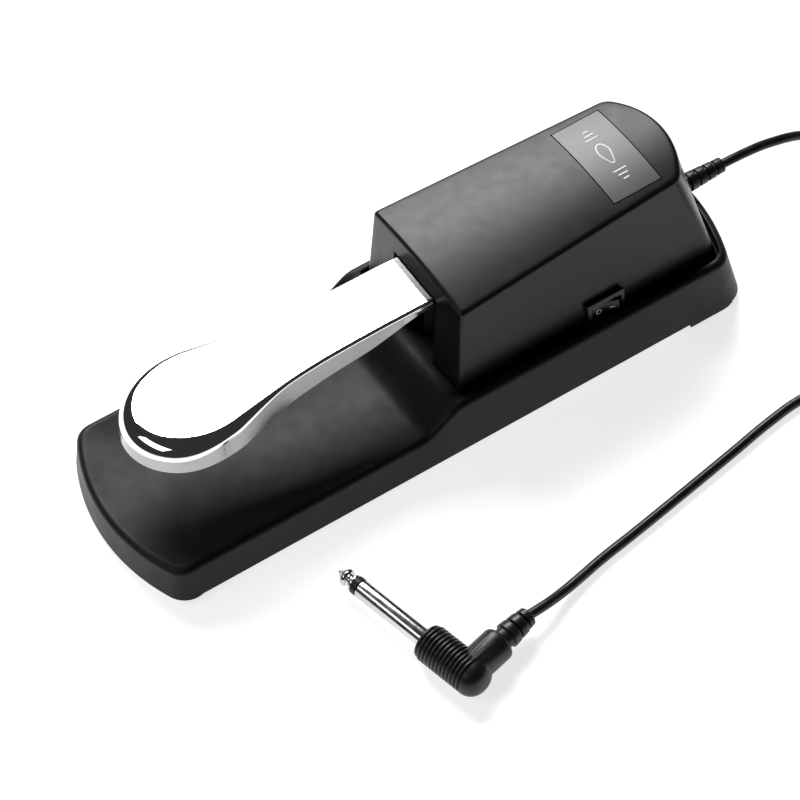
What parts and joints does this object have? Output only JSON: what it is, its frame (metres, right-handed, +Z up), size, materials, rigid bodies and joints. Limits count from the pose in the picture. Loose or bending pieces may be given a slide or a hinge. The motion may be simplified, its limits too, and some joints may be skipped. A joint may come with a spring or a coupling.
{
  "type": "sustain pedal",
  "caption": "Foot pedal switch with a chrome teardrop lever over a dished base, a raised housing with a polarity rocker, and a cord to a right-angle plug.",
  "frame": {"origin": "on the floor, under the middle of the base", "axes": "+Y from the toe to the cord end, +X towards the side with the polarity rocker, +Z up"},
  "size_m": [0.1586, 0.3217, 0.0633],
  "materials": {
    "base_plastic": "fine satin grain",
    "cover_plastic": "satin",
    "label_grey": "satin",
    "chrome": "polished plating",
    "steel": "zinc plated",
    "nickel": "polished nickel plating",
    "brass": "tinned brass tags",
    "rubber": "matte",
    "moulded_black": "satin",
    "switch_black": "semi-gloss",
    "switch_body": "matte",
    "plunger_red": "matte",
    "cord_jacket": "smooth flexible jacket",
    "wire_red": "wire insulation",
    "wire_white": "wire insulation"
  },
  "bodies": {
    "base": {"base_shell": "base_plastic", "housing_cover": "cover_plastic", "label_plate": "label_grey", "bottom_plate": "steel", "base_screw_1": "steel", "base_screw_2": "steel", "base_screw_3": "steel", "base_screw_4": "steel", "cover_screw_1": "steel", "cover_screw_2": "steel", "cover_screw_3": "steel", "cover_screw_4": "steel", "pivot_bracket": "steel", "bracket_screw_1": "steel", "bracket_screw_2": "steel", "lever_axle": "steel", "axle_clip_left": "steel", "axle_clip_right": "steel", "return_spring": "steel", "microswitch_screw_1": "steel", "microswitch_screw_2": "steel", "cord_clamp": "steel", "clamp_screw": "steel", "plug_tip": "nickel", "plug_sleeve": "nickel", "microswitch_terminal_1": "brass", "microswitch_terminal_2": "brass", "microswitch_terminal_3": "brass", "polarity_terminal_1": "brass", "polarity_terminal_2": "brass", "polarity_terminal_3": "brass", "front_foot_left": "rubber", "front_foot_right": "rubber", "rear_foot": "rubber", "up_stop_pad": "rubber", "down_stop_pad": "rubber", "strain_relief": "rubber", "plug_body": "moulded_black", "plug_boot": "moulded_black", "plug_insulator": "moulded_black", "cord_tie": "moulded_black", "spring_seat": "moulded_black", "polarity_switch_body": "switch_black", "microswitch_body": "switch_body", "cord_near": "cord_jacket", "cord_far": "cord_jacket", "cord_coil": "cord_jacket", "cord_inner": "cord_jacket", "wire_signal": "wire_red", "wire_closed": "wire_red", "wire_ground": "wire_white", "wire_open": "wire_white"},
    "lever": {"lever": "chrome", "spring_cap": "moulded_black"},
    "switch_leaf": {"microswitch_lever": "steel"},
    "switch_plunger": {"microswitch_plunger": "plunger_red"},
    "rocker": {"polarity_rocker": "switch_black"}
  },
  "joints": [
    {"name": "lever_pivot", "type": "hinge", "parent": "base", "child": "lever", "pos_m": [0, 0.048, 0.0435], "axis": [1, 0, 0], "range_deg": [0, 6], "stiffness_Nm_per_rad": 12, "springref_deg": -5.73, "deforming": ["return_spring"]},
    {"name": "leaf_pivot", "type": "hinge", "parent": "base", "child": "switch_leaf", "pos_m": [-0.00665, 0.0845, 0.048], "axis": [-1, 0, 0], "range_deg": [0, 9.5]},
    {"name": "plunger_slide", "type": "slide", "parent": "base", "child": "switch_plunger", "axis": [0, 0, 1], "range_m": [0, 0.00105]},
    {"name": "rocker_pivot", "type": "hinge", "parent": "base", "child": "rocker", "pos_m": [0.02741, 0.06085, 0.02601], "axis": [-0.1201, 0, 0.9928], "range_deg": [0, 20]}
  ],
  "couplings": [
    {"joint": "leaf_pivot", "follows": "lever_pivot", "ratio": 1.5},
    {"joint": "plunger_slide", "follows": "lever_pivot", "m_per_rad": 0.0095}
  ]
}
